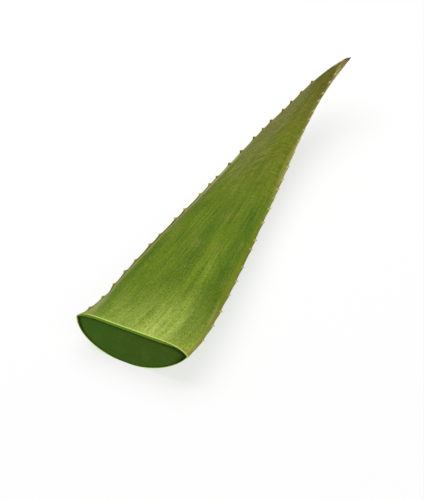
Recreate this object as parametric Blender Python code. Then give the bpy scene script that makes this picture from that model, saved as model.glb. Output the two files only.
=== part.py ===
"""Aloe vera leaf, cut from its plant, lying on its keel.

The leaf runs along +Y, from its cut foot to its dried tip. It grew as one piece: the rind, the gel
under it and the prickles along both margins are one body. A section across it is a thick lens,
nearly flat on top near the cut and channelled toward the tip, with a deep rounded underside.
A short spur, where the leaf clasped its stem, stands out at the left of the cut.
Metres, +Z up. The origin is under the middle of the leaf, on the surface that it lies on.
"""

import math
import random

import bmesh
import bpy
from mathutils import Matrix, Vector

# Size of the leaf
LENGTH = 0.420
HALF_WIDTH = 0.0425
TIP_HALF_WIDTH = 0.0013

# How the half-width falls from the cut to the tip
TAPER_START = 1.1
TAPER_END = 0.71
TIP_POWER = 8

# The left margin at the cut: a spur where the leaf clasped its stem, and a waist behind it
SPUR = 0.0016
SPUR_LENGTH = 0.016
WAIST = 0.0012
WAIST_FROM = 0.10
WAIST_TO = 0.13

# Slow waves of both margins: share of the length, how far out, half-length as a share
WAVES = {
    -1: ((0.815, -0.0015, 0.05), (0.95, 0.0005, 0.03)),
    1: ((0.0, 0.0006, 0.05), (0.11, -0.0009, 0.045), (0.29, 0.0007, 0.09), (0.69, -0.0005, 0.06)),
}

# The lens across the leaf, as shares of the half-width
BELLY_AT_CUT = 0.537
BELLY_AT_TIP = 0.92
BELLY_POWER = {-1: 0.46, 1: 0.8}
KEEL_OFFSET = -0.12
DOME_AT_CUT = 0.131
DOME_POWER = 9
CHANNEL = 0.15
CHANNEL_FROM = 0.15
CHANNEL_FULL = 0.75

# How the leaf bends along its length: sideways bow, hooked tip, swept foot, rising tip, roll
BOW = 0.0082
HOOK = 0.0158
HOOK_POWER = 8
FOOT_SWEEP = 0.0074
FOOT_SHARE = 0.13
RISE = 0.0433
RISE_FROM = 0.38
TIP_ROLL = math.radians(27)

# The flat spot that the keel has pressed itself
FLAT_DEPTH = 0.0006

# The cut face: the rind stands a little proud of the gel
RIND_ON_TOP = 0.0030
RIND_BELOW = 0.0008
RIND_AT_MARGIN = 0.0009
GEL_RECESS = 0.0008

# Prickles along the margins; each margin has its own first place and its own seed
TEETH_FROM = {-1: 0.035, 1: 0.040}
TEETH_SEED = {-1: 8388, 1: 3725}
TEETH_TO = 0.945
TOOTH_PITCH = 0.0225
TOOTH_PITCH_AT_TIP = 0.0145
TOOTH_PITCH_JITTER = 0.35
TOOTH_SIZE_JITTER = 0.15
TOOTH_HEIGHT = 0.0022
TOOTH_HEIGHT_AT_TIP = 0.0019
TOOTH_LENGTH = 0.0046
TOOTH_THICKNESS = 0.0019
TOOTH_POINT = 0.28
TOOTH_ROOT = 0.0022
TOOTH_SUNK = 0.00105
TOOTH_LEAN = 0.55
TOOTH_SIDES = 6

# Faces
AROUND = 40
RINGS = 64
SPUR_RINGS = 3
RING_CROWDING = 1.25
STEP = 0.005
SLIVER = 0.00001


def between(a, b, share):
    return a + (b - a) * share


def eased(x):
    x = min(1.0, max(0.0, x))
    return x * x * (3 - 2 * x)


def hump(x, centre, width):
    return math.exp(-((x - centre) / width) ** 2)


def half_width(s):
    """Half the leaf's width at share s of its length, from 0 at the cut to 1 at the tip."""
    taper = (1 - min(1.0, s) ** TAPER_START) ** TAPER_END
    return HALF_WIDTH * taper + TIP_HALF_WIDTH * s ** TIP_POWER


def belly_depth(s):
    return half_width(s) * between(BELLY_AT_CUT, BELLY_AT_TIP, s ** 3)


def spine(s):
    """Middle of the leaf at the height of its margins."""
    foot = max(0.0, 1 - s / FOOT_SHARE) ** 2
    x = HOOK * s ** HOOK_POWER - 4 * BOW * s * (1 - s) - FOOT_SWEEP * foot
    rise = RISE * max(0.0, (s - RISE_FROM) / (1 - RISE_FROM)) ** 2
    return Vector((x, LENGTH * s, rise + belly_depth(s)))


def section_axes(s):
    """Unit directions along the leaf, across it to the right, and up through it."""
    ahead = min(1.0, s + STEP)
    behind = max(0.0, s - STEP)
    along = (spine(ahead) - spine(behind)).normalized()
    across = along.cross(Vector((0, 0, 1))).normalized()
    up = across.cross(along)
    roll = Matrix.Rotation(-TIP_ROLL * s ** 3, 3, along)
    return along, roll @ across, roll @ up


def lens_height(s, t, upper, rind=0.0):
    """Height of the surface over the line that joins the margins.

    t runs from -1 at the left margin to 1 at the right one. rind moves the outline inward from
    the skin to the gel: 0 is the skin and 1 is the gel's edge.
    """
    if upper:
        dome = half_width(s) * DOME_AT_CUT * (1 - s) - rind * RIND_ON_TOP
        span = CHANNEL_FULL - CHANNEL_FROM
        channel = half_width(s) * CHANNEL * eased((s - CHANNEL_FROM) / span)
        return dome * (1 - abs(t) ** DOME_POWER) - channel * (1 - t * t)
    keel = KEEL_OFFSET * (1 - s)
    side = -1 if t < keel else 1
    off = (t - keel) / (side - keel)
    roundness = max(0.0, 1 - off * off) ** BELLY_POWER[side]
    return -(belly_depth(s) - rind * RIND_BELOW) * roundness


def margin_shift(s, side):
    """How far the margin stands out from the leaf's even taper."""
    shift = sum(out * hump(s, place, reach) for place, out, reach in WAVES[side])
    if side < 0:
        shift += SPUR * max(0.0, 1 - (s / SPUR_LENGTH) ** 2)
        shift -= WAIST * (1 - eased((s - WAIST_FROM) / (WAIST_TO - WAIST_FROM)))
    return shift


def lens_width(s, t, rind=0.0):
    """Distance to the right of the leaf's middle."""
    side = -1 if t < 0 else 1
    shift = side * margin_shift(s, side) * abs(t) ** 3
    return t * (half_width(s) - rind * RIND_AT_MARGIN) + shift


def leaf_point(s, t, upper, rind=0.0):
    """Point of the surface."""
    along, across, up = section_axes(s)
    return spine(s) + across * lens_width(s, t, rind) + up * lens_height(s, t, upper, rind)


def ring_place(k):
    """Share of the length and rind share of ring k, counted from the gel at the cut."""
    if k == 0:
        return GEL_RECESS / LENGTH, 1.0
    if k == 1:
        return 0.0, 1.0
    if k < SPUR_RINGS + 2:
        return SPUR_LENGTH * (k - 2) / SPUR_RINGS, 0.0
    u = (k - 2 - SPUR_RINGS) / (RINGS - 2 - SPUR_RINGS)
    return between(SPUR_LENGTH, 1, 1 - (1 - u) ** RING_CROWDING), 0.0


def leaf_body():
    """A closed tube of rings, each drawn out to the lens that the leaf has there."""
    bm = bmesh.new()
    bmesh.ops.create_cone(bm, cap_ends=True, segments=AROUND, radius1=1, radius2=1, depth=1)
    long_edges = [e for e in bm.edges if abs(e.verts[0].co.z - e.verts[1].co.z) > 0.5]
    bmesh.ops.subdivide_edges(bm, edges=long_edges, cuts=RINGS - 1)
    tip_ring = [v for v in bm.verts if v.co.z > 0.5 - 0.25 / RINGS]
    for v in bm.verts:
        s, rind = ring_place(round((v.co.z + 0.5) * RINGS))
        t = max(-1.0, min(1.0, -v.co.x))
        v.co = leaf_point(s, t, v.co.y > 0, rind)
    bmesh.ops.pointmerge(bm, verts=tip_ring, merge_co=spine(1.0))
    for v in bm.verts:
        v.co.z = max(v.co.z, FLAT_DEPTH) - FLAT_DEPTH
    bmesh.ops.recalc_face_normals(bm, faces=bm.faces)
    return finished("leaf", bm, skin_material())


def teeth_places(side):
    """Share of the length and size of each prickle on one margin."""
    rng = random.Random(TEETH_SEED[side])
    shares = []
    s = TEETH_FROM[side]
    while s < TEETH_TO:
        shares.append(s)
        pitch = between(TOOTH_PITCH, TOOTH_PITCH_AT_TIP, s)
        s += pitch * (1 + rng.uniform(-TOOTH_PITCH_JITTER, TOOTH_PITCH_JITTER)) / LENGTH
    return [(s, 1 + rng.uniform(-TOOTH_SIZE_JITTER, TOOTH_SIZE_JITTER)) for s in shares]


def tooth(s, side, size):
    """One prickle: a flattened cone, rooted in the flesh behind the margin and leaning to the tip."""
    along, across, up = section_axes(s)
    foot = spine(s) - Vector((0, 0, FLAT_DEPTH))
    margin = foot + across * lens_width(s, side)
    t_root = side * (1 - TOOTH_ROOT / half_width(s))
    sunk = min(0.0, lens_height(s, t_root, True) - TOOTH_SUNK)
    root = foot + across * lens_width(s, t_root) + up * sunk
    out = (margin - root).normalized()
    thick = out.cross(along).normalized()
    along = thick.cross(out)
    height = size * between(TOOTH_HEIGHT, TOOTH_HEIGHT_AT_TIP, s)
    reach = (margin - root).length + height

    bm = bmesh.new()
    half_side = Matrix.Rotation(math.pi / TOOTH_SIDES, 4, "Z")
    bmesh.ops.create_cone(bm, cap_ends=True, segments=TOOTH_SIDES, radius1=0.5,
                          radius2=0.5 * TOOTH_POINT, depth=1, matrix=half_side)
    for v in bm.verts:
        level = v.co.z + 0.5
        lean = TOOTH_LEAN * height * level
        v.co = (root + along * (v.co.x * TOOTH_LENGTH * size + lean)
                + thick * (v.co.y * TOOTH_THICKNESS) + out * (reach * level))
    bmesh.ops.recalc_face_normals(bm, faces=bm.faces)
    return finished("tooth", bm, skin_material())


def fuse_teeth(leaf):
    """Grows the prickles of both margins out of the leaf, in one union."""
    teeth = bpy.data.collections.new("teeth")
    bpy.context.scene.collection.children.link(teeth)
    for side in (-1, 1):
        for s, size in teeth_places(side):
            one = tooth(s, side, size)
            bpy.context.scene.collection.objects.unlink(one)
            teeth.objects.link(one)
    union = leaf.modifiers.new("teeth", "BOOLEAN")
    union.operation = "UNION"
    union.operand_type = "COLLECTION"
    union.collection = teeth
    union.solver = "EXACT"
    bpy.context.view_layer.update()
    graph = bpy.context.evaluated_depsgraph_get()
    fused = bpy.data.meshes.new_from_object(leaf.evaluated_get(graph))
    leaf.modifiers.clear()
    leaf.data = fused
    for one in list(teeth.objects):
        bpy.data.objects.remove(one)
    bpy.data.collections.remove(teeth)


def clean_seams(leaf):
    """Closes up the slivers along the seams round the prickles' roots."""
    bm = bmesh.new()
    bm.from_mesh(leaf.data)
    bmesh.ops.dissolve_degenerate(bm, dist=SLIVER, edges=bm.edges)
    bmesh.ops.triangulate(bm, faces=[f for f in bm.faces if len(f.verts) < AROUND])
    bm.to_mesh(leaf.data)
    bm.free()


def centre(leaf):
    """Puts the origin under the middle of the leaf's box."""
    xs = [v.co.x for v in leaf.data.vertices]
    ys = [v.co.y for v in leaf.data.vertices]
    middle = Vector(((min(xs) + max(xs)) / 2, (min(ys) + max(ys)) / 2, 0))
    leaf.data.transform(Matrix.Translation(-middle))


def skin_material():
    """Waxy green rind."""
    skin = bpy.data.materials.get("leaf_skin")
    if skin is None:
        skin = bpy.data.materials.new("leaf_skin")
        skin.use_nodes = True
        shader = skin.node_tree.nodes["Principled BSDF"]
        shader.inputs["Base Color"].default_value = (0.16, 0.27, 0.03, 1)
        shader.inputs["Metallic"].default_value = 0.0
        shader.inputs["Roughness"].default_value = 0.5
    return skin


def finished(name, bm, material):
    """Turns a bmesh into a smooth shaded object of the scene."""
    mesh = bpy.data.meshes.new(name)
    bm.to_mesh(mesh)
    bm.free()
    mesh.shade_smooth()
    mesh.materials.append(material)
    obj = bpy.data.objects.new(name, mesh)
    bpy.context.scene.collection.objects.link(obj)
    return obj


for old in list(bpy.data.objects):
    bpy.data.objects.remove(old)
leaf = leaf_body()
fuse_teeth(leaf)
clean_seams(leaf)
centre(leaf)
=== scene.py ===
import functools
import math
import random

import bmesh
import bpy
from mathutils import Matrix, Vector, noise


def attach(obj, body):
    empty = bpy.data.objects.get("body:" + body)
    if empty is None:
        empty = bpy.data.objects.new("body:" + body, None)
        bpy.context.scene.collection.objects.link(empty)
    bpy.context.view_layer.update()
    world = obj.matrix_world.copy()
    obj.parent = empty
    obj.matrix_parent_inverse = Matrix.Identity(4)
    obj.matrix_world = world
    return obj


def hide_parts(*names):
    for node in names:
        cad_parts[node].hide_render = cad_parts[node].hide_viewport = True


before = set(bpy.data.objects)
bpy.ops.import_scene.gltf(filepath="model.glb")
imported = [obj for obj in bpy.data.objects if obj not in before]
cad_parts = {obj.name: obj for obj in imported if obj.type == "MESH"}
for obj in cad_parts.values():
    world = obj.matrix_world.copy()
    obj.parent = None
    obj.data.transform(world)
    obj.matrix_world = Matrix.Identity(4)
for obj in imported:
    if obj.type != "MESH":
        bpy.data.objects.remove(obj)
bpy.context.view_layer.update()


# Leaf skin
# The leaf grew in one piece and was cut from its plant at the foot. Its rind is a tough waxy skin
# one to three millimetres thick, closed all round the gel, and the cut shows it as a pale ring.

LENGTH = 0.420
HALF_WIDTH = 0.0425
TIP_HALF_WIDTH = 0.0013
TIP_POWER = 8
TAPER_START = 1.1
TAPER_END = 0.71


def half_width(s):
    """Half the leaf's width at share s of its length, from 0 at the cut to 1 at the tip."""
    taper = (1 - min(1.0, s) ** TAPER_START) ** TAPER_END
    return HALF_WIDTH * taper + TIP_HALF_WIDTH * s ** TIP_POWER


BELLY_AT_CUT = 0.537
BELLY_AT_TIP = 0.92


def between(a, b, share):
    """The value at a share of the way from a to b."""
    return a + (b - a) * share


def belly_depth(s):
    """How far the keel hangs below the margins: a share of the half width that grows to the tip."""
    return half_width(s) * between(BELLY_AT_CUT, BELLY_AT_TIP, s ** 3)


BOW = 0.0082
HOOK = 0.0158
HOOK_POWER = 8
FOOT_SWEEP = 0.0074
FOOT_SWEEP_TO = 0.13
RISE = 0.0433
RISE_FROM = 0.38


def spine(s):
    """Middle of the leaf at the height of its margins: x to the right, y along it, z up."""
    foot = max(0.0, 1 - s / FOOT_SWEEP_TO) ** 2
    x = HOOK * s ** HOOK_POWER - 4 * BOW * s * (1 - s) - FOOT_SWEEP * foot
    rise = RISE * max(0.0, (s - RISE_FROM) / (1 - RISE_FROM)) ** 2
    return Vector((x, LENGTH * s, rise + belly_depth(s)))


TIP_ROLL = math.radians(27)
TANGENT_STEP = 0.005


@functools.cache
def section_axes(s):
    """Unit directions along the leaf, across it to the right, and up through it."""
    ahead = spine(min(1.0, s + TANGENT_STEP))
    behind = spine(max(0.0, s - TANGENT_STEP))
    along = (ahead - behind).normalized()
    across = along.cross(Vector((0, 0, 1))).normalized()
    up = across.cross(along)
    roll = Matrix.Rotation(-TIP_ROLL * s ** 3, 3, along)
    return along, roll @ across, roll @ up


BELLY_POWER = {-1: 0.46, 1: 0.8}  # by side, as others that follow: -1 is left, 1 is right
KEEL_OFFSET = -0.12
DOME_AT_CUT = 0.131
DOME_POWER = 9
CHANNEL = 0.15
CHANNEL_FROM = 0.15
CHANNEL_FULL = 0.75
RIND_ON_TOP = 0.0030
RIND_BELOW = 0.0008


def eased(x):
    """Goes from 0 to 1 as x does, with a soft start and end."""
    x = min(1.0, max(0.0, x))
    return x * x * (3 - 2 * x)


def lens_height(s, t, upper, rind=0.0):
    """How far the surface stands over the line between the margins.

    t goes from -1 at the left margin to 1 at the right one, and rind from 0 at the outline of
    the leaf to 1 at that of its gel.
    """
    if upper:
        dome = half_width(s) * DOME_AT_CUT * (1 - s) - rind * RIND_ON_TOP
        span = CHANNEL_FULL - CHANNEL_FROM
        channel = half_width(s) * CHANNEL * eased((s - CHANNEL_FROM) / span)
        return dome * (1 - abs(t) ** DOME_POWER) - channel * (1 - t * t)
    keel = KEEL_OFFSET * (1 - s)
    side = -1 if t < keel else 1
    off = (t - keel) / (side - keel)
    roundness = max(0.0, 1 - off * off) ** BELLY_POWER[side]
    return -(belly_depth(s) - rind * RIND_BELOW) * roundness


WAVES = {  # for each side: share of the length, metres outward, and reach as a share
    -1: ((0.815, -0.0015, 0.05), (0.95, 0.0005, 0.03)),
    1: ((0.0, 0.0006, 0.05), (0.11, -0.0009, 0.045), (0.29, 0.0007, 0.09), (0.69, -0.0005, 0.06)),
}
SPUR = 0.0016
SPUR_TO = 0.016
WAIST = 0.0012
WAIST_FROM = 0.10
WAIST_TO = 0.13
RIND_AT_MARGIN = 0.0009


def hump(x, centre, width):
    """A bell that is 1 at its centre."""
    return math.exp(-((x - centre) / width) ** 2)


def margin_shift(s, side):
    """How far the margin stands out from the leaf's even taper.

    The left one has a spur at the cut, and runs a little further in up to WAIST_TO.
    """
    shift = sum(out * hump(s, place, reach) for place, out, reach in WAVES[side])
    if side < 0:
        shift += SPUR * max(0.0, 1 - (s / SPUR_TO) ** 2)
        shift -= WAIST * (1 - eased((s - WAIST_FROM) / (WAIST_TO - WAIST_FROM)))
    return shift


def lens_width(s, t, rind=0.0):
    """Distance to the right of the leaf's middle."""
    side = -1 if t < 0 else 1
    shift = side * margin_shift(s, side) * abs(t) ** 3
    return t * (half_width(s) - rind * RIND_AT_MARGIN) + shift


# The CAD leaf's right-hand corner at the cut ties the formulas to the shared frame.
corner = min((v.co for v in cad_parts["leaf"].data.vertices), key=lambda co: co.y)
TO_FRAME = corner - (spine(0) + section_axes(0)[1] * lens_width(0, 1))

TEETH_FROM = {-1: 0.035, 1: 0.040}
TEETH_TO = 0.945
TEETH_SEED = {-1: 8388, 1: 3725}
TOOTH_PITCH = 0.0225
TOOTH_PITCH_AT_TIP = 0.0145
TOOTH_PITCH_JITTER = 0.35
TOOTH_SIZE_JITTER = 0.15


def teeth_places(side):
    """Share of the length and size of each prickle on one margin."""
    rng = random.Random(TEETH_SEED[side])
    shares = []
    s = TEETH_FROM[side]
    while s < TEETH_TO:
        shares.append(s)
        pitch = between(TOOTH_PITCH, TOOTH_PITCH_AT_TIP, s)
        s += pitch * (1 + rng.uniform(-TOOTH_PITCH_JITTER, TOOTH_PITCH_JITTER)) / LENGTH
    return [(s, 1 + rng.uniform(-TOOTH_SIZE_JITTER, TOOTH_SIZE_JITTER)) for s in shares]


TEETH = {side: teeth_places(side) for side in (-1, 1)}
SWELLING = 0.0005
SWELLING_TO_FOOT = 0.0060
SWELLING_TO_TIP = 0.0028


@functools.cache
def swelling(s, side):
    """How far the margin swells: slowly up to each prickle and quickly down past it."""
    total = 0.0
    for place, size in TEETH[side]:
        reach = SWELLING_TO_FOOT if s < place else SWELLING_TO_TIP
        total += SWELLING * size * hump(s, place, reach / LENGTH)
    return total


SKIN_SWELL = 0.00035
SKIN_RIB = 0.00012
WRINKLE = 0.00016
WRINKLES_AT = 0.66
WRINKLES_REACH = 0.12
WRINKLE_ARCH = 0.075
WRINKLE_APEX = 0.4
SHRIVEL = 0.00035
SHRIVEL_FROM = 0.95
SHRIVEL_EASES_OVER = 0.03
SMOOTH_AT_CUT = 0.02


def ripple(s, t, across, along, layer):
    """Soft noise between -1 and 1 that changes so many times across and along the leaf."""
    return noise.noise(Vector((t * across, s * along, layer)))


def relief(s, t, upper):
    """The skin's own unevenness: soft ribs along it, wrinkles where it bends, a shrivelled tip.

    It dies away at the margins and at the cut.
    """
    layer = 5.0 if upper else 25.0
    height = SKIN_SWELL * ripple(s, t, across=3, along=3, layer=layer)
    height += SKIN_RIB * ripple(s, t, across=15, along=4, layer=layer + 3)
    if upper:
        arched = s + WRINKLE_ARCH * (t - WRINKLE_APEX) ** 2
        wrinkles = ripple(arched, t, across=2.5, along=80, layer=layer + 6)
        height += WRINKLE * wrinkles * hump(s, WRINKLES_AT, WRINKLES_REACH)
    shrivelled = ripple(s, t, across=4, along=50, layer=layer + 9)
    height += SHRIVEL * shrivelled * eased((s - SHRIVEL_FROM) / SHRIVEL_EASES_OVER)
    return height * (1 - t ** 8) * min(1.0, s / SMOOTH_AT_CUT)


BEAD = 0.00028
BEAD_WIDTH = 0.0013
BEAD_THICKNESS = 0.6  # share of its reach outward that it adds to each face
SWELLING_POWER = 12


def skin_point(s, t, upper, rind=0.0):
    """Point of the surface in the shared frame, with its relief, margin bead and swellings."""
    _, across, up = section_axes(s)
    side = math.copysign(1, t)
    inward = (1 - abs(t)) * half_width(s)
    bead = BEAD * max(0.0, 1 - (inward / BEAD_WIDTH) ** 2) ** 2 * (1 - rind)
    swollen = swelling(s, side) * abs(t) ** SWELLING_POWER * (1 - rind)
    out = lens_width(s, t, rind) + side * (bead + swollen)
    facing = 1 if upper else -1
    raised = relief(s, t, upper) + bead * BEAD_THICKNESS
    height = lens_height(s, t, upper, rind) + facing * raised
    return TO_FRAME + spine(s) + across * out + up * height


def place_across(x):
    """Place across the leaf for x on a unit circle: halfway from even steps to even angles."""
    x = max(-1.0, min(1.0, x))
    return (x + math.asin(x) * 2 / math.pi) / 2


AROUND = 168
RINGS = 430
RING_CROWDING = 1.15
FIRST_RING = 0.0005
CUT_RINGS = (  # rind, as for lens_height, and metres behind the plane of the cut
    (1.0, 0.0030), (1.0, 0.0004), (0.93, 0.0), (0.55, 0.0), (0.14, 0.0), (0.03, 0.00015),
)


def ring_place(ring):
    """Share of the length and rind of a ring: out over the cut first, and then up the leaf."""
    if ring < len(CUT_RINGS):
        rind, behind = CUT_RINGS[ring]
        return behind / LENGTH, rind
    u = (ring - len(CUT_RINGS)) / (RINGS - len(CUT_RINGS))
    return max(1 - (1 - u) ** RING_CROWDING, FIRST_RING / LENGTH), 0.0


def stacked_rings(bm, sides, radius, rings):
    """An upright cylinder one metre high, of so many storeys."""
    bmesh.ops.create_cone(
        bm, cap_ends=True, segments=sides, radius1=radius, radius2=radius, depth=1)
    risers = [e for e in bm.edges if abs(e.verts[0].co.z - e.verts[1].co.z) > 0.5]
    bmesh.ops.subdivide_edges(bm, edges=risers, cuts=rings - 1)


def vertex_layers(bm, *names):
    """Values kept at each vertex for the material to read."""
    return {name: bm.verts.layers.float.new(name) for name in names}


def placed(name, bm):
    """Turns a bmesh into a smooth object of the scene."""
    for face in bm.faces:
        face.smooth = True
    mesh = bpy.data.meshes.new(name)
    bm.to_mesh(mesh)
    bm.free()
    piece = bpy.data.objects.new(name, mesh)
    bpy.context.scene.collection.objects.link(piece)
    return piece


def leaf_skin():
    """A closed tube of rings, the first few on the cut and the last drawn to a point."""
    bm = bmesh.new()
    layers = vertex_layers(bm, "along", "across", "inward", "under", "cut")
    stacked_rings(bm, sides=AROUND, radius=1, rings=RINGS)
    tip_ring = []
    for v in bm.verts:
        ring = round((v.co.z + 0.5) * RINGS)
        if ring == RINGS:
            tip_ring.append(v)
        s, rind = ring_place(ring)
        t = place_across(-v.co.x)
        upper = v.co.y > 0
        v.co = skin_point(s, t, upper, rind)
        v[layers["along"]] = s
        v[layers["across"]] = t
        v[layers["inward"]] = (1 - abs(t)) * half_width(s)
        v[layers["under"]] = 0.0 if upper else 1.0
        v[layers["cut"]] = rind
    bmesh.ops.pointmerge(bm, verts=tip_ring, merge_co=TO_FRAME + spine(1.0))
    for v in bm.verts:
        v.co.z = max(v.co.z, 0.0)  # the table presses the keel flat
    bmesh.ops.recalc_face_normals(bm, faces=bm.faces)
    for face in bm.faces:
        on_cut = any(v[layers["cut"]] > 0.0 for v in face.verts)
        face.material_index = int(on_cut)
    return placed("leaf_skin", bm)


def set_stops(elements, stops):
    """Gives a colour ramp its places and colours."""
    while len(elements) < len(stops):
        elements.new(1.0)
    for element, (place, colour) in zip(elements, stops):
        element.position = place
        element.color = colour


class Wire:
    """A socket of a material; arithmetic on it adds Math nodes to that material."""

    def __init__(self, tree, socket=None):
        self.tree = tree
        self.socket = socket

    def node(self, kind, settings, inputs, output=0):
        """Adds a node: settings first, then a value or a link for each socket."""
        made = self.tree.nodes.new(kind)
        for name, value in settings.items():
            if name == "stops":
                set_stops(made.color_ramp.elements, value)
            else:
                setattr(made, name, value)
        for name, value in inputs.items():
            self.feed(made.inputs[name], value)
        return Wire(self.tree, made.outputs[output])

    def feed(self, target, value):
        """Links a wire to a socket, or sets the socket's own value."""
        if isinstance(value, Wire):
            self.tree.links.new(value.socket, target)
        else:
            target.default_value = value

    def maths(self, operation, a, b=0.0):
        return self.node("ShaderNodeMath", {"operation": operation}, {0: a, 1: b})

    def __add__(self, other):
        return self.maths("ADD", self, other)

    def __sub__(self, other):
        return self.maths("SUBTRACT", self, other)

    def __mul__(self, other):
        return self.maths("MULTIPLY", self, other)

    def __truediv__(self, other):
        return self.maths("DIVIDE", self, other)

    __radd__ = __add__
    __rmul__ = __mul__

    def __rsub__(self, other):
        return self.maths("SUBTRACT", other, self)

    def __rtruediv__(self, other):
        return self.maths("DIVIDE", other, self)

    def size(self):
        return self.maths("ABSOLUTE", self)

    def ramp(self, low, high):
        """0 below low, 1 above high, eased between; the other way round if high is under low."""
        if high < low:
            return 1 - self.ramp(high, low)
        ends = {"Value": self, "From Min": low, "From Max": high}
        return self.node("ShaderNodeMapRange", {"interpolation_type": "SMOOTHSTEP"}, ends)

    def band(self, centre, width):
        """1 at the centre, falling to 0 at width on both sides."""
        return (self - centre).size().ramp(width, 0.0)

    def attribute(self, name):
        return self.node("ShaderNodeAttribute", {"attribute_name": name}, {}, "Fac")

    def place(self):
        """Object coordinates, which are metres in the shared frame."""
        return self.node("ShaderNodeTexCoord", {}, {}, "Object")

    def vector(self, x, y, z=0.0):
        return self.node("ShaderNodeCombineXYZ", {}, {0: x, 1: y, 2: z})

    def noise(self, where, scale=1.0, detail=2.0):
        values = {"Vector": where, "Scale": scale, "Detail": detail}
        return self.node("ShaderNodeTexNoise", {}, values, "Fac")

    def bump(self, height, strength, distance):
        values = {"Strength": strength, "Distance": distance, "Height": height}
        return self.node("ShaderNodeBump", {}, values)

    def scaled(self, colour, factor):
        """A colour made lighter or darker by a factor."""
        return self.node("ShaderNodeVectorMath", {"operation": "SCALE"}, {0: colour, 3: factor})

    def times(self, colour, factors):
        """A colour with its red, green and blue each multiplied."""
        return self.node("ShaderNodeVectorMath", {"operation": "MULTIPLY"}, {0: colour, 1: factors})

    def mix(self, a, b, share):
        """Colour a turning to colour b as share goes from 0 to 1."""
        kind = {"data_type": "RGBA", "clamp_factor": True}
        return self.node("ShaderNodeMix", kind, {0: share, 6: a, 7: b}, 2)

    def washed(self, colour, washes):
        """A colour with washes over it, one after another: each has a colour and its share."""
        for tint, share in washes:
            colour = self.mix(colour, tint, share)
        return colour


def shade(red, green, blue):
    """A colour as the eye reads it, 0 to 255, made linear for the shader."""
    return tuple((c / 255) ** 2.2 for c in (red, green, blue)) + (1.0,)


def material(name):
    """A new material, its empty wire and its shader."""
    made = bpy.data.materials.new(name)
    made.use_nodes = True
    tree = made.node_tree
    return made, Wire(tree), tree.nodes["Principled BSDF"]


def set_shader(shader, wire, values):
    for name, value in values.items():
        wire.feed(shader.inputs[name], value)


# In the skin's paint, s and t are as in lens_height, inward is metres in from the margin, and
# under is 1 on the underside, which reads its noise on a layer of its own.
UNDERSIDE_LAYER = 5


def leaf_noise(wire, s, t, across, along, layer=0.0, detail=2.0):
    """Noise that changes so many times across and along the leaf, drawn out where these differ."""
    return wire.noise(wire.vector(t * across, s * along, layer), detail=detail)


def green_fields(wire, s, t, under):
    """Broad colours of the upper side, pale green at the foot to olive at the tip, with painted
    sheen and shade.
    """
    # The light streak up the upper side from the cut is painted sheen.
    sheen_band_at = s.ramp(0.1, 0.0) * 0.12 - s * 0.1 + 0.46
    sheen_band = (t - sheen_band_at).band(0.0, 0.12) * s.ramp(0.34, 0.2)
    light_middle = t.band(0.24, 0.16) * s.ramp(0.05, 0.14) * s.ramp(0.42, 0.3)
    # The darker right of the upper side is painted shade, where it turns away from the light.
    shaded_right = t.band(0.76, 0.24) * s.ramp(0.01, 0.1) * s.ramp(0.5, 0.4)
    dark_left = t.band(-0.8, 0.12) * s.ramp(0.34, 0.25)
    dark_middle = t.band(0.0, 0.3) * s.ramp(0.14, 0.24) * s.ramp(0.5, 0.42)
    sides = t.ramp(-0.98, -0.4) * (t.ramp(1.0, 0.45) * 0.45 + 0.55)
    # The foot is paler green of its own, brightest near t = 0.3 where a painted highlight lies over
    # it.
    pale_foot = s.ramp(0.17, -0.03) * (t.band(0.3, 0.5) * 0.52 + 0.48) * sides
    # The pale ridge near the cut is a painted highlight along the crest of the dome.
    ridge_highlight = t.band(0.31, 0.1) * s.ramp(0.12, 0.03)
    ridge_highlight = ridge_highlight + t.band(0.56, 0.09) * s.band(0.03, 0.05) * 0.7
    grooves = t.band(0.41, 0.07) * s.band(0.075, 0.06) + t.band(0.19, 0.09) * s.band(0.045, 0.035)
    right_corner = t.ramp(0.6, 0.85) * s.ramp(0.04, 0.0) * 0.55
    right_corner = right_corner + t.ramp(0.86, 0.96) * s.ramp(0.1, 0.02) * 0.3
    grey_edge = t.ramp(-0.68, -0.84) * s.ramp(0.27, 0.36) * s.ramp(0.62, 0.5) * (1 - under)
    # The grey toward the tip on the left is painted sheen on the left shoulder, partly the skin's
    # grey bloom.
    drift = (leaf_noise(wire, s, t, across=3, along=9) - 0.5) * 1.2
    grey_left = (t + drift).ramp(0.1, -0.65) * s.ramp(0.46, 0.68) * s.ramp(0.95, 0.83)
    greyish = wire.mix(shade(114, 122, 60), shade(114, 115, 58), s.ramp(0.62, 0.74))

    colour = wire.mix(shade(100, 124, 21), shade(107, 118, 26), s.ramp(0.35, 0.65))
    return wire.washed(colour, (
        (shade(104, 108, 30), s.ramp(0.7, 0.8)),
        (shade(94, 95, 22), s.ramp(0.82, 0.9)),
        (shade(132, 154, 46), sheen_band * 0.8),
        (shade(116, 137, 28), light_middle * 0.6),
        (shade(82, 110, 18), shaded_right * 0.75),
        (shade(80, 108, 18), dark_left * 0.85),
        (shade(87, 112, 22), dark_middle * 0.7),
        (shade(172, 192, 84), pale_foot),
        (shade(190, 206, 108), ridge_highlight * 0.4),
        (shade(108, 134, 36), grooves * 0.25),
        (shade(160, 174, 70), right_corner),
        (shade(100, 108, 46), grey_edge * 0.65),
        (greyish, grey_left * 0.9),
        (shade(110, 134, 52), under * 0.7),
    ))


# A light streak of the skin is also greyer, and a dark one a deeper green.
REDDER_WHERE_LIGHT = 1.25
BLUER_WHERE_LIGHT = 3.2


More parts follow.
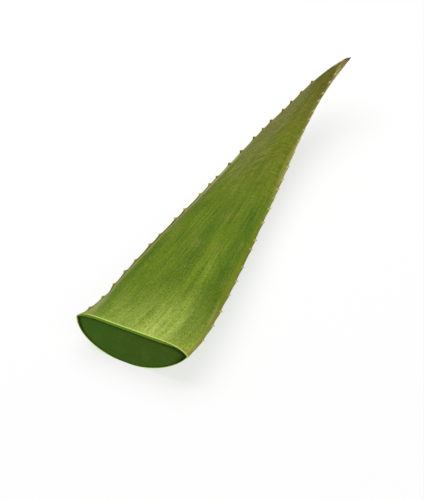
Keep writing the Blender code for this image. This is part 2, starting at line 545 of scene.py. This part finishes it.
def grown_texture(wire, colour, s, t, under, fibres, threads):
    """Long fibres in the lower half, soft hazy patches, and arcs of fine wrinkles above."""
    own_layer = under * UNDERSIDE_LAYER
    lower = s.ramp(0.76, 0.58)
    haze = leaf_noise(wire, s, t, across=4, along=11, layer=own_layer + 2)
    arched = s + (t - WRINKLE_APEX) * (t - WRINKLE_APEX) * WRINKLE_ARCH
    arcs = leaf_noise(wire, arched, t, across=1.8, along=120)
    in_bend = s.band(0.67, 0.15) * t.band(-0.15, 0.8) * (1 - under)
    colour = wire.washed(colour, (
        (shade(122, 131, 56), haze.ramp(0.52, 0.72) * 0.4),
        (shade(76, 106, 20), haze.ramp(0.48, 0.3) * 0.35 * s.ramp(0.75, 0.6)),
        (shade(70, 90, 14), arcs.ramp(0.54, 0.72) * in_bend * 0.7),
        (shade(128, 132, 66), arcs.ramp(0.42, 0.3) * in_bend * 0.5),
    ))

    place = wire.place()
    strands = leaf_noise(wire, s, t, across=9, along=9, layer=own_layer, detail=1.0)
    lines = leaf_noise(wire, s, t, across=44, along=6, layer=own_layer, detail=1.0)
    dashes = leaf_noise(wire, s, t, across=70, along=150, layer=own_layer, detail=1.0)
    speckle = wire.noise(place, scale=330)
    grain = wire.noise(place, scale=900, detail=1.0)
    creases = leaf_noise(wire, arched, t, across=2, along=160, layer=4)
    light = sum((pattern - 0.5) * strength for pattern, strength in (
        (strands, lower * 0.3),
        (fibres, lower * 0.3),
        (threads, lower * 0.25 + 0.05),
        (lines, lower * (s.ramp(0.1, 0.4) * 0.3 + 0.62)),
        (dashes, lower * 0.75),
        (speckle, 0.32 - lower * 0.24),
        (grain, s.band(0.2, 0.15) * 0.4 + s.ramp(0.75, 0.9) * 0.4 + 0.8),
        (creases, s.ramp(0.35, 0.6) * 0.8),
    ))
    red = light * REDDER_WHERE_LIGHT + 1
    blue = light * BLUER_WHERE_LIGHT + 1
    return wire.times(colour, wire.vector(red, light + 1, blue))


def left_margin(wire, colour, s, inward, shown):
    """Grey-green painted sheen beside a thin pale line that is a painted highlight, with a dark
    brown edge outside the line.

    The line runs furthest in from the margin at the cut, and nearer to it toward the tip.
    """
    line = wire.maths("MINIMUM", 0.0045 - s * 0.0058, s * 0.002 + 0.0024)
    line = wire.maths("MAXIMUM", line, 0.0062 - s * 0.04)
    beyond = inward - line
    # The grey-green beside the line is painted sheen on the skin's waxy bloom, widest at the cut.
    reach = s.ramp(0.11, 0.02) * 0.0014 + s.ramp(0.045, 0.0) * 0.005 + 0.0022
    bloom_and_sheen = (beyond / reach).ramp(1.0, 0.35) * s.ramp(0.8, 0.5)
    bloom_and_sheen = bloom_and_sheen * (1 - s.band(0.37, 0.14) * 0.75)
    bloom_and_sheen_colour = wire.mix(shade(122, 136, 62), shade(152, 158, 84), s.ramp(0.1, 0.02))
    # The crest is painted sheen a few millimetres further in, near the cut.
    crest_sheen = beyond.band(0.003, 0.003) * s.band(0.045, 0.05)
    dark_edge = beyond.ramp(-0.0004, -0.0012) * s.ramp(-0.01, 0.025) * s.ramp(0.66, 0.5)
    brown = wire.mix(shade(108, 94, 22), shade(84, 70, 8), s.ramp(0.06, 0.3))
    # The thin pale line is a painted highlight along the margin's ridge.
    margin_highlight = beyond.band(0.0, 0.0006) * s.ramp(-0.02, 0.03) * s.ramp(0.72, 0.6)
    highlight_colour = wire.mix(shade(164, 162, 60), shade(182, 182, 126), s.ramp(0.34, 0.44))
    corner_at_cut = beyond.ramp(0.0006, -0.0006) * s.ramp(0.02, 0.005)
    olive_edge = inward.ramp(0.0012, 0.0006) * s.ramp(0.92, 0.84) * s.ramp(0.55, 0.68)
    return wire.washed(colour, (
        (bloom_and_sheen_colour, bloom_and_sheen * shown * 0.7),
        (shade(172, 178, 116), crest_sheen * shown * 0.35),
        (brown, dark_edge * shown * (s.ramp(0.1, 0.3) * 0.1 + 0.8)),
        (highlight_colour, margin_highlight * shown * (s.ramp(0.0, 0.06) * 0.4 + 0.45)),
        (shade(120, 124, 4), corner_at_cut * shown * 0.5),
        (shade(134, 130, 76), olive_edge * shown * 0.7),
    ))


WORN_STOPS = (  # share of the length, and the worn strip's colour there
    (0.0, shade(166, 170, 78)), (0.12, shade(146, 150, 56)), (0.28, shade(118, 122, 34)),
    (0.56, shade(158, 152, 72)), (0.7, shade(140, 130, 56)), (0.88, shade(104, 92, 26)),
)


def right_margin(wire, colour, s, inward, shown, fibres):
    """A worn strip, cream-green to brown along the leaf, that comes and goes in width."""
    unsteady = wire.noise(wire.vector(s * 40, 3.0))
    worn = wire.node("ShaderNodeValToRGB", {"stops": WORN_STOPS}, {0: s})
    width = s.band(0.6, 0.2) * 0.0026 + s.ramp(0.12, 0.0) * 0.0010 + unsteady * 0.0016 + 0.0001
    strip = (inward / width).ramp(1.4, 0.3) * unsteady.ramp(0.2, 0.5)
    strip = strip * (fibres.ramp(0.35, 0.55) * 0.4 + 0.6)
    glow = inward.ramp(0.0045, 0.0010) * s.band(0.2, 0.2)
    pale_streaks = inward.band(0.0022, 0.0018) * s.band(0.085, 0.06) * fibres.ramp(0.4, 0.6)
    brown_line = inward.band(0.0006, 0.0006) * s.ramp(0.36, 0.28) * unsteady.ramp(0.35, 0.55)
    blush = s.band(0.79, 0.07) * (inward * 100 / (1 - s)).band(0.9, 0.8)
    cream = inward.ramp(0.0008, 0.0002) * s.band(0.66, 0.14)
    brown_inside = inward.band(0.0010, 0.0008) * s.ramp(0.76, 0.84) * s.ramp(0.94, 0.91)
    golden = inward.ramp(0.0005, 0.0001) * (s.band(0.79, 0.06) + s.ramp(0.9, 0.93))
    scorches = wire.noise(wire.vector(s * 55, 8.0), detail=1.0).ramp(0.56, 0.68)
    brown_share = scorches * inward.ramp(0.0016, 0.0006) * s.band(0.66, 0.16)
    return wire.washed(colour, (
        (shade(130, 142, 46), glow * shown * 0.7),
        (shade(164, 162, 96), pale_streaks * shown * 0.6),
        (worn, strip * shown * 0.85),
        (shade(130, 102, 36), brown_line * shown * 0.55),
        (shade(156, 142, 66), blush * shown * 0.3),
        (shade(200, 192, 130), cream * shown * 0.7),
        (shade(106, 86, 12), brown_inside * shown * 0.5),
        (shade(198, 178, 90), golden * shown * 0.6),
        (shade(124, 84, 24), brown_share * shown * 0.8),
    ))


def dried_tip(wire, colour, s, t, under, fibres):
    """The last centimetres: greyish left edge, tan middle, brown scabs and a dark point."""
    dark_left = s.band(0.925, 0.035) * t.ramp(-0.7, -0.95)
    yellow_right = s.band(0.9, 0.035) * t.ramp(0.4, 0.8)
    dried = (s + (fibres - 0.5) * 0.02).ramp(0.94, 0.97)
    near_point = s.ramp(0.965, 0.98)
    tan = wire.mix(shade(170, 154, 86), shade(178, 162, 102), near_point)
    tan_middle = dried * (t - (0.32 - near_point * 0.3)).band(0.0, 0.55)
    brown_right = dried * t.ramp(0.55, 0.8)
    grey_left = s.ramp(0.957, 0.982) * t.ramp(-0.45, -0.9)
    tan_edge = s.band(0.942, 0.02) * t.ramp(0.5, 0.8) * (1 - under)
    dry_below = (s + (fibres - 0.5) * 0.16 - t.ramp(1.0, 0.2) * 0.05).ramp(0.78, 0.9)
    dry_below = dry_below * under * t.ramp(-0.2, 0.3)
    scabs = wire.noise(wire.place(), scale=420).ramp(0.56, 0.64) * s.ramp(0.93, 0.97)
    return wire.washed(colour, (
        (shade(84, 86, 28), dark_left * 0.6),
        (shade(108, 100, 6), yellow_right * 0.6),
        (tan, tan_middle),
        (shade(100, 78, 20), brown_right),
        (shade(176, 172, 116), grey_left),
        (shade(186, 162, 84), tan_edge),
        (shade(165, 152, 80), dry_below * 0.7),
        (shade(92, 52, 22), scabs * 0.8),
        (shade(50, 34, 14), s.ramp(0.985, 0.994) * 0.85),
    ))


def skin_paint():
    """Waxy rind: its broad colours, then its texture, both margins and the dried tip."""
    made, wire, shader = material("waxy rind")
    s = wire.attribute("along")
    t = wire.attribute("across")
    inward = wire.attribute("inward")
    under = wire.attribute("under")
    own_layer = under * UNDERSIDE_LAYER
    fibres = leaf_noise(wire, s, t, across=26, along=13, layer=own_layer)
    threads = leaf_noise(wire, s, t, across=60, along=30, layer=own_layer)
    left = t.ramp(0.1, -0.1)

    colour = green_fields(wire, s, t, under)
    colour = grown_texture(wire, colour, s, t, under, fibres, threads)
    colour = left_margin(wire, colour, s, inward, left * (1 - under))
    colour = right_margin(wire, colour, s, inward, 1 - left, fibres)
    colour = dried_tip(wire, colour, s, t, under, fibres)
    set_shader(shader, wire, {
        "Base Color": colour,
        "Roughness": fibres * 0.16 + 0.44,
        "Normal": wire.bump(fibres * 0.6 + threads * 0.4, strength=0.35, distance=0.0004),
        "Specular IOR Level": 0.1,
    })
    return made


def rind_edge_paint():
    """The rind's cut edge: lime outside, green inside, and painted shade by the gel, deepest at
    right.
    """
    made, wire, shader = material("cut rind")
    cut = wire.attribute("cut")
    under = wire.attribute("under")
    t = wire.attribute("across")
    grain = wire.noise(wire.place(), scale=700)
    uneven = cut + (grain - 0.5) * 0.3
    green_within = (uneven + t.ramp(0.2, 0.7) * 0.08).ramp(0.11, 0.24)
    # The dark by the gel is painted shade under the rind's lip, deepest toward the right corner.
    shade_by_gel = (uneven + t.ramp(0.5, 0.9) * 0.4).ramp(0.72, 0.86)
    below = wire.mix(shade(190, 220, 90), shade(86, 116, 34), uneven.ramp(0.4, 0.95))
    colour = wire.washed(shade(205, 236, 112), (
        (shade(132, 166, 62), t.ramp(-0.6, -0.95) * 0.8),
        (shade(102, 136, 24), green_within),
        (shade(26, 50, 4), shade_by_gel),
        (below, under),
    ))
    set_shader(shader, wire, {
        "Base Color": wire.scaled(colour, (grain - 0.5) * 0.4 + 1),
        "Roughness": 0.45,
        "Normal": wire.bump(grain, strength=0.3, distance=0.0002),
        "Specular IOR Level": 0.08,
    })
    return made


skin = leaf_skin()
skin.data.materials.append(skin_paint())
skin.data.materials.append(rind_edge_paint())
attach(skin, "root")
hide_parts("leaf")


# Cut gel
# The gel fills the rind from end to end, and only its cut end is made here. The knife left its
# face flat and wet, and it has drawn back a little from the rind since.

GEL_GAP = 0.00012
GEL_RECESS_ON_TOP = 0.0009
GEL_RECESS_BELOW = 0.00025
GEL_BULGE = 0.0002
GEL_RIPPLE = 0.00008
GEL_DEPTH = 0.0022
GEL_AROUND = 120
GEL_RINGS = 14
SHADOW_POWER = 9
SHADOW_AT_RIGHT = 1.4
SHADOW_AT_LEFT = 0.9
SHADOW_AT_LEFT_POWER = 12


def rind_shadow(x, y, radius):
    """How much the rind shades a unit disc of gel: along its top and in both corners."""
    right = max(0.0, x)
    left = max(0.0, -x)
    along_top = max(0.0, y) ** 0.5 * radius ** SHADOW_POWER * (1 + right * 0.5)
    in_right = right ** SHADOW_POWER * SHADOW_AT_RIGHT
    in_left = left ** SHADOW_AT_LEFT_POWER * SHADOW_AT_LEFT
    return max(along_top, in_right, in_left)


def cut_gel():
    """A lens of gel: a disc of circles, drawn out to the rind's inner outline and thickened."""
    bm = bmesh.new()
    layers = vertex_layers(bm, "shadow")
    bmesh.ops.create_circle(bm, cap_ends=True, segments=GEL_AROUND, radius=1)
    middle = bm.faces[:]
    for _ in range(GEL_RINGS - 1):
        bmesh.ops.inset_individual(bm, faces=middle, thickness=1 / GEL_RINGS, use_even_offset=True)
    bmesh.ops.poke(bm, faces=middle)
    along, across, up = section_axes(0)
    foot = TO_FRAME + spine(0)
    centre = foot + up * (lens_height(0, 0, True) + lens_height(0, 0, False)) / 2
    shrink = 1 - GEL_GAP / half_width(0)
    for v in bm.verts:
        x, y, _ = v.co
        radius = min(1.0, v.co.xy.length)
        t = place_across(math.cos(math.atan2(y, x)))
        out = across * lens_width(0, t, rind=1.0)
        edge = foot + out + up * lens_height(0, t, y > 0, rind=1.0)
        recess = between(GEL_RECESS_BELOW, GEL_RECESS_ON_TOP, (y + 1) / 2)
        bulge = GEL_BULGE * (1 - radius ** 4)
        behind = recess - bulge + GEL_RIPPLE * ripple(y, x, across=5, along=3, layer=2)
        v[layers["shadow"]] = rind_shadow(x, y, radius)
        v.co = centre + (edge - centre) * radius * shrink + along * behind
    back = bmesh.ops.extrude_face_region(bm, geom=bm.faces[:])
    moved = [g for g in back["geom"] if isinstance(g, bmesh.types.BMVert)]
    bmesh.ops.translate(bm, verts=moved, vec=along * GEL_DEPTH)
    bmesh.ops.recalc_face_normals(bm, faces=bm.faces)
    return placed("cut_gel", bm)


def gel_paint():
    """Wet dark green gel, a little cloudy, that is darkest where the rind shades it."""
    made, wire, shader = material("cut gel")
    place = wire.place()
    x = wire.node("ShaderNodeSeparateXYZ", {}, {0: place})
    cloud = wire.noise(place, scale=90, detail=3.0)
    grain = wire.noise(place, scale=900)
    colour = wire.washed(shade(64, 98, 25), (
        (shade(68, 93, 26), x.ramp(-0.035, 0.015)),
        (shade(80, 110, 36), cloud.ramp(0.5, 0.7) * 0.35),
        (shade(28, 46, 8), wire.attribute("shadow").ramp(0.1, 1.1) * 0.85),
    ))
    set_shader(shader, wire, {
        "Base Color": wire.scaled(colour, (grain - 0.5) * 0.6 + 1),
        "Roughness": cloud * 0.15 + 0.35,
        "Normal": wire.bump(cloud + grain * 0.3, strength=0.25, distance=0.0003),
        "Specular IOR Level": 0.05,
    })
    return made


gel = cut_gel()
gel.data.materials.append(gel_paint())
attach(gel, "root")
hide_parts("leaf")


# Prickles
# Small hard teeth grew out of both margins, each on a low swelling, and lean toward the tip.
# They are horny and pale to tan and rooted in the flesh behind the margin; up the left margin their
# side toward the foot has painted shade in dark brown.

TOOTH_HEIGHT = {-1: 0.0017, 1: 0.0014}
TOOTH_HEIGHT_AT_TIP = 0.0016
TOOTH_LENGTH = {-1: 0.0062, 1: 0.0050}
TOOTH_THICKNESS = 0.0019
TOOTH_ROOT = 0.0022
TOOTH_SUNK = 0.0013
TOOTH_LEAN = 0.8
TOOTH_LEAN_POWER = 1.5
TOOTH_SIDES = 12
TOOTH_RINGS = 9
TOOTH_POINT = 0.1
TOOTH_AT_MARGIN = 0.85
TOOTH_BLUNTNESS = 0.8


def form_tooth(verts, layers, s, side, size):
    """Draws a cylinder one metre high and wide out to a flat hook, flared at its root."""
    along, across, up = section_axes(s)
    foot = TO_FRAME + spine(s)
    margin = foot + across * lens_width(s, side)
    t_root = side * (1 - TOOTH_ROOT / half_width(s))
    sunk = min(0.0, lens_height(s, t_root, True) - TOOTH_SUNK)
    root = foot + across * lens_width(s, t_root) + up * sunk
    out = (margin - root).normalized()
    thick = out.cross(along).normalized()
    ahead = thick.cross(out)
    height = size * between(TOOTH_HEIGHT[side], TOOTH_HEIGHT_AT_TIP, s)
    sunk_in = (margin - root).length
    reach = sunk_in + height
    for v in verts:
        x, y, z = v.co
        level = z + 0.5
        stands = min(1.0, max(0.0, (level * reach - sunk_in) / height))
        taper = between(1, TOOTH_AT_MARGIN, min(1.0, level * reach / sunk_in))
        if stands > 0:
            taper = between(TOOTH_POINT, TOOTH_AT_MARGIN, (1 - stands) ** TOOTH_BLUNTNESS)
        lean = TOOTH_LEAN * height * stands ** TOOTH_LEAN_POWER
        forward = x * TOOTH_LENGTH[side] * size * taper + lean
        through = y * TOOTH_THICKNESS * taper
        v.co = root + ahead * forward + thick * through + out * (reach * level)
        v[layers["ahead"]] = x
        v[layers["stands"]] = stands
        v[layers["along"]] = s
        v[layers["side"]] = side


def prickles():
    """A copy of one cylinder at every place, and the cylinder itself taken away at the end."""
    bm = bmesh.new()
    layers = vertex_layers(bm, "stands", "along", "side", "ahead")
    stacked_rings(bm, sides=TOOTH_SIDES, radius=0.5, rings=TOOTH_RINGS)
    pattern = bm.verts[:] + bm.edges[:] + bm.faces[:]
    for side in (-1, 1):
        for s, size in TEETH[side]:
            copy = bmesh.ops.duplicate(bm, geom=pattern)["geom"]
            verts = [g for g in copy if isinstance(g, bmesh.types.BMVert)]
            form_tooth(verts, layers, s, side, size)
    bmesh.ops.delete(bm, geom=[g for g in pattern if isinstance(g, bmesh.types.BMVert)])
    bmesh.ops.recalc_face_normals(bm, faces=bm.faces)
    return placed("prickles", bm)


def prickle_paint():
    """Horny teeth, tan to cream; up the left margin the side toward the foot has painted shade in
    dark brown.
    """
    made, wire, shader = material("horny prickle")
    stands = wire.attribute("stands")
    s = wire.attribute("along")
    left = wire.attribute("side").ramp(0.5, -0.5)
    grain = wire.noise(wire.place(), scale=1500)
    left_body = wire.mix(shade(176, 160, 66), shade(200, 180, 90), s.ramp(0.15, 0.35))
    left_body = wire.mix(left_body, shade(112, 98, 38), s.ramp(0.72, 0.84))
    body = wire.mix(shade(206, 192, 120), left_body, left)
    root = wire.mix(shade(150, 146, 70), shade(136, 124, 44), left)
    # The dark brown on the foot side of the left teeth is painted shade.
    toward_foot = (wire.attribute("ahead") + (grain - 0.5) * 0.2).ramp(0.3, 0.0)
    brown_share = toward_foot * s.ramp(0.42, 0.6) * left
    brown_share = brown_share * stands.ramp(0.0, 0.12) * stands.ramp(0.95, 0.7)
    point = wire.mix(shade(138, 130, 104), shade(206, 188, 116), left)
    colour = wire.washed(root, (
        (body, stands.ramp(0.05, 0.5)),
        (shade(62, 48, 12), brown_share * 0.9),
        (point, (stands + (grain - 0.5) * 0.15).ramp(0.7, 0.85)),
    ))
    set_shader(shader, wire, {
        "Base Color": wire.scaled(colour, (grain - 0.5) * 0.4 + 1),
        "Roughness": 0.45,
        "Normal": wire.bump(grain, strength=0.2, distance=0.0001),
        "Specular IOR Level": 0.15,
    })
    return made


teeth = prickles()
teeth.data.materials.append(prickle_paint())
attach(teeth, "root")
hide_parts("leaf")


# Studio
# A plain pale table that glows as a light table does, a wide soft light over it, a smaller one in
# front and a weak fill from all round. The camera is a metre away and looks down along the leaf.

CAMERA_AZIMUTH = math.radians(20.8)
CAMERA_ELEVATION = math.radians(31.9)
CAMERA_DISTANCE = 1.0
CAMERA_LENS = 100.0
CAMERA_AIM = Vector((-0.0031, 0.1351, 0.01))
SENSOR_WIDTH = 36.0
NEAREST_SEEN = 0.01
TABLE_SIZE = 8.0
TABLE_GLOW = 0.7
WHITE = (1, 1, 1, 1)


def table():
    """A plain square floor that belongs to the studio and not to the leaf."""
    bm = bmesh.new()
    bmesh.ops.create_grid(bm, x_segments=1, y_segments=1, size=TABLE_SIZE / 2)
    made = placed("table", bm)
    paint, wire, shader = material("pale table")
    set_shader(shader, wire, {
        "Base Color": shade(150, 150, 150),
        "Roughness": 0.9,
        "Specular IOR Level": 0.0,
        "Emission Color": WHITE,
        "Emission Strength": TABLE_GLOW,
    })
    made.data.materials.append(paint)


def soft_light(name, place, size, power):
    """A round lamp that faces the place under the leaf's middle."""
    lamp = bpy.data.lights.new(name, "AREA")
    lamp.shape = "DISK"
    lamp.size = size
    lamp.energy = power
    made = bpy.data.objects.new(name, lamp)
    made.location = place
    made.rotation_euler = (-Vector(place)).to_track_quat("-Z", "Y").to_euler()
    bpy.context.scene.collection.objects.link(made)


def world_fill(strength):
    """Even white light from all round."""
    world = bpy.data.worlds.new("studio")
    world.use_nodes = True
    background = world.node_tree.nodes["Background"]
    background.inputs["Color"].default_value = WHITE
    background.inputs["Strength"].default_value = strength
    bpy.context.scene.world = world


def camera():
    """The camera looks down from its azimuth and elevation at a place a third of the way up."""
    lens = bpy.data.cameras.new("camera")
    lens.lens = CAMERA_LENS
    lens.sensor_width = SENSOR_WIDTH
    lens.clip_start = NEAREST_SEEN
    made = bpy.data.objects.new("camera", lens)
    back = Vector((
        math.sin(CAMERA_AZIMUTH) * math.cos(CAMERA_ELEVATION),
        -math.cos(CAMERA_AZIMUTH) * math.cos(CAMERA_ELEVATION),
        math.sin(CAMERA_ELEVATION),
    ))
    made.location = TO_FRAME + CAMERA_AIM + back * CAMERA_DISTANCE
    made.rotation_euler = back.to_track_quat("Z", "Y").to_euler()
    bpy.context.scene.collection.objects.link(made)
    bpy.context.scene.camera = made


table()
soft_light("key", place=(-0.4, 0.3, 1.5), size=2.2, power=24.0)
soft_light("fill", place=(0.9, -1.2, 0.9), size=1.5, power=6.5)
world_fill(0.25)
camera()
bpy.context.scene.view_settings.view_transform = "Standard"
